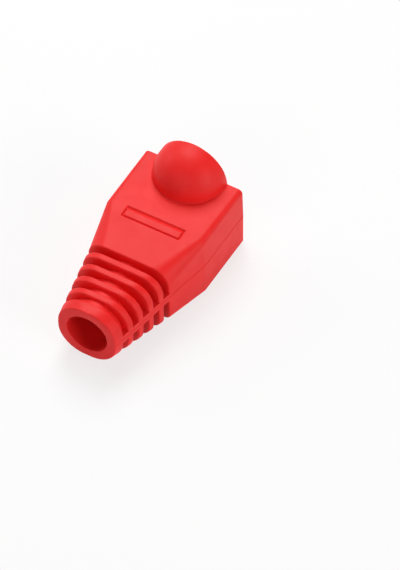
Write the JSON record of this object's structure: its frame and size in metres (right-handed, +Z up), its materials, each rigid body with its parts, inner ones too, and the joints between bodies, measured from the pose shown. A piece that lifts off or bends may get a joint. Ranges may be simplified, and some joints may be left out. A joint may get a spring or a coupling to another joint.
{
  "type": "strain relief boot",
  "caption": "Slip-on strain relief boot for a modular network plug: a rectangular sleeve with a latch dome, tapering into a ribbed flexible tail with a round cable hole.",
  "frame": {"origin": "under the middle of the boot, at the height of its underside", "axes": "+Y out of the mouth that takes the plug, -Y out of the cable hole, +X across the width, +Z up towards the dome"},
  "size_m": [0.0144, 0.027, 0.0145],
  "materials": {
    "vinyl": "satin soft vinyl"
  },
  "bodies": {
    "root": {"boot": "vinyl"}
  },
  "joints": []
}
